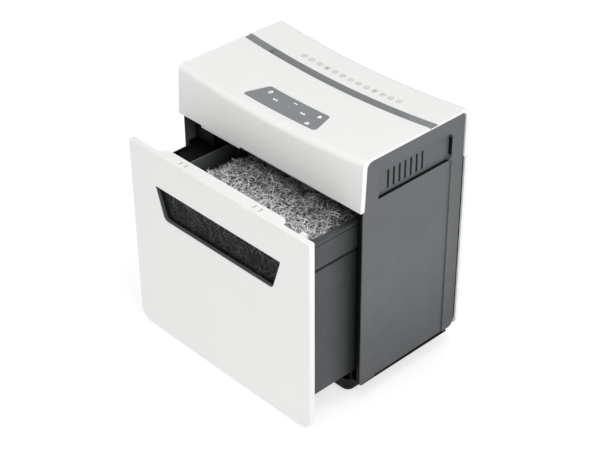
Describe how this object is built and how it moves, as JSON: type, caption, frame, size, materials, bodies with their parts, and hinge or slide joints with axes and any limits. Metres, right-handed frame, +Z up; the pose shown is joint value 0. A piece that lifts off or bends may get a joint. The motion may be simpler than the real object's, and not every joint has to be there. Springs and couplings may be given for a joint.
{
  "type": "paper shredder",
  "caption": "Compact desk-side paper shredder with a concave top, full-width feed slot, touch panel and a windowed pull-out bin.",
  "frame": {"origin": "bottom centre of the bounding box with the drawer standing open, on the floor plane under the feet", "axes": "+Z up, -Y out of the drawer front, +X to the right of someone facing the front"},
  "size_m": [0.315, 0.26, 0.342],
  "materials": {
    "white_shell": "fine satin texture",
    "grey_shell": "fine satin texture",
    "panel_grey": "satin",
    "black_plastic": "satin",
    "bin_plastic": "satin",
    "foot_rubber": "matt",
    "tinted_window": "polished, smoke tint",
    "plate_steel": "zinc plated",
    "hard_steel": "ground, oiled",
    "screw_steel": "plated",
    "gear_nylon": "moulded",
    "circuit_board": "solder mask",
    "sintered_bronze": "oiled",
    "motor_can": "plated",
    "lead_sheath": "matt"
  },
  "bodies": {
    "housing": {"top_cover": "white_shell", "back_cover": "white_shell", "side_panel_left": "grey_shell", "side_panel_right": "grey_shell", "control_panel": "panel_grey", "slot_insert": "panel_grey", "base_tray": "black_plastic", "runner_rail_left": "black_plastic", "runner_rail_right": "black_plastic", "head_frame": "black_plastic", "stripper_comb_front": "black_plastic", "stripper_comb_rear": "black_plastic", "gearbox_cover": "black_plastic", "power_inlet": "black_plastic", "switch_housing": "black_plastic", "interlock_switch": "black_plastic", "bin_full_sensor": "black_plastic", "paper_sensor_emitter": "black_plastic", "paper_sensor_receiver": "black_plastic", "foot_1": "foot_rubber", "foot_2": "foot_rubber", "foot_3": "foot_rubber", "foot_4": "foot_rubber", "cutter_plate_left": "plate_steel", "cutter_plate_right": "plate_steel", "tie_rod_front": "plate_steel", "tie_rod_rear": "plate_steel", "motor_bracket": "plate_steel", "gear_pin_1": "plate_steel", "gear_pin_2": "plate_steel", "back_screw_1": "screw_steel", "back_screw_2": "screw_steel", "back_screw_3": "screw_steel", "back_screw_4": "screw_steel", "control_board": "circuit_board", "power_board": "circuit_board", "bearing_front_left": "sintered_bronze", "bearing_rear_left": "sintered_bronze", "bearing_front_right": "sintered_bronze", "bearing_rear_right": "sintered_bronze", "motor_body": "motor_can", "inlet_lead": "lead_sheath"},
    "drawer": {"drawer_front": "white_shell", "window_frame": "grey_shell", "drawer_window": "tinted_window", "bin": "bin_plastic", "bin_collar": "bin_plastic", "front_clip_left": "panel_grey", "front_clip_right": "panel_grey", "interlock_tab": "white_shell"},
    "cutter_front": {"cutter_shaft_front": "hard_steel", "drive_gear": "hard_steel"},
    "cutter_rear": {"cutter_shaft_rear": "hard_steel", "timing_gear": "hard_steel"},
    "gear_stage_2": {"reduction_gear_2": "gear_nylon"},
    "gear_stage_1": {"reduction_gear_1": "gear_nylon"},
    "rotor": {"motor_shaft": "plate_steel", "motor_fan": "black_plastic"},
    "rocker": {"power_rocker": "black_plastic"},
    "plunger": {"interlock_plunger": "panel_grey"}
  },
  "joints": [
    {"name": "drawer_slide", "type": "slide", "parent": "housing", "child": "drawer", "axis": [0, -1, 0], "range_m": [-0.0768, 0.062]},
    {"name": "cutter_front_spin", "type": "hinge", "parent": "housing", "child": "cutter_front", "pos_m": [0, 0.048, 0.3], "axis": [1, 0, 0], "continuous": true},
    {"name": "cutter_rear_spin", "type": "hinge", "parent": "housing", "child": "cutter_rear", "pos_m": [0, 0.079, 0.3], "axis": [1, 0, 0], "continuous": true},
    {"name": "gear_stage_2_spin", "type": "hinge", "parent": "housing", "child": "gear_stage_2", "pos_m": [-0.134, 0.0345, 0.2758], "axis": [1, 0, 0], "continuous": true},
    {"name": "gear_stage_1_spin", "type": "hinge", "parent": "housing", "child": "gear_stage_1", "pos_m": [-0.131, 0.00507, 0.27], "axis": [1, 0, 0], "continuous": true},
    {"name": "motor_spin", "type": "hinge", "parent": "housing", "child": "rotor", "pos_m": [-0.075, -0.0099, 0.296], "axis": [1, 0, 0], "continuous": true},
    {"name": "power_switch", "type": "hinge", "parent": "housing", "child": "rocker", "pos_m": [-0.064, 0.1253, 0.3065], "axis": [1, 0, 0], "range_deg": [0, 20]},
    {"name": "interlock_press", "type": "slide", "parent": "housing", "child": "plunger", "axis": [0, 1, 0], "range_m": [0, 0.0025], "stiffness_N_per_m": 250, "springref_m": -0.001}
  ],
  "couplings": [
    {"joint": "cutter_rear_spin", "follows": "cutter_front_spin", "ratio": -1},
    {"joint": "gear_stage_2_spin", "follows": "cutter_front_spin", "ratio": -3},
    {"joint": "gear_stage_1_spin", "follows": "cutter_front_spin", "ratio": 12},
    {"joint": "motor_spin", "follows": "cutter_front_spin", "ratio": -48}
  ]
}
